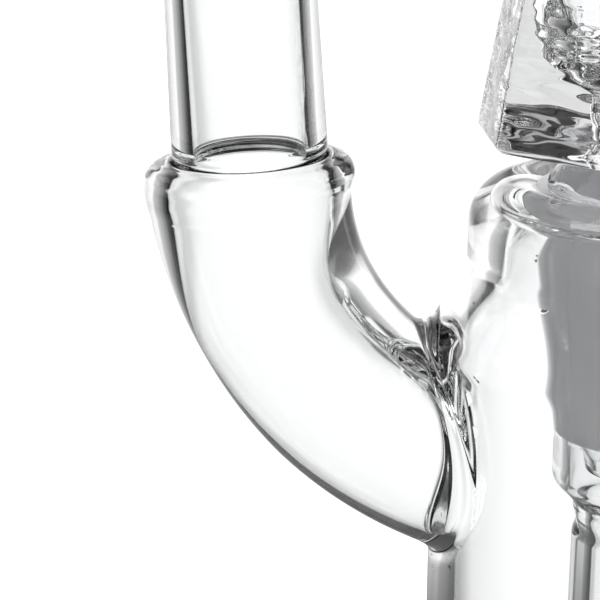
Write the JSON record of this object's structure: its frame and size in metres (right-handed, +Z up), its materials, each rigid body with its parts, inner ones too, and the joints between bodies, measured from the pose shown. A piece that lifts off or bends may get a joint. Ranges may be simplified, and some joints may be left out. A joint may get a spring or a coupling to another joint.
{
  "type": "glass bubbler",
  "caption": "Upright clear glass bubbler with a welded swept side arm and outlet tube, a ground-glass socket with a downstem, and a thick eight-sided cup that lifts out.",
  "frame": {"origin": "centre of the foot's flat underside", "axes": "+Z up along the chamber's axis; the side arm and outlet tube are towards -X"},
  "size_m": [0.0852, 0.062, 0.1891],
  "materials": {
    "clear_glass": "clear, fire-polished",
    "cup_glass": "clear, thick, polished flats",
    "frosted_glass": "ground, matt"
  },
  "bodies": {
    "vessel": {"base_foot": "clear_glass", "chamber": "clear_glass", "shoulder": "clear_glass", "rim_bead": "clear_glass", "socket_reducer": "clear_glass", "stem_weld": "clear_glass", "downstem": "clear_glass", "diffuser_tip": "clear_glass", "side_elbow": "clear_glass", "elbow_weld": "clear_glass", "arm_collar": "clear_glass", "outlet_tube": "clear_glass", "mouth_ring": "clear_glass", "ground_socket": "frosted_glass"},
    "cup_assembly": {"cup": "cup_glass", "cup_neck": "clear_glass", "ground_cone": "frosted_glass", "drip_tip": "clear_glass"}
  },
  "joints": [
    {"name": "cup_lift", "type": "slide", "parent": "vessel", "child": "cup_assembly", "axis": [0, 0, 1], "range_m": [0, 0.045]}
  ]
}
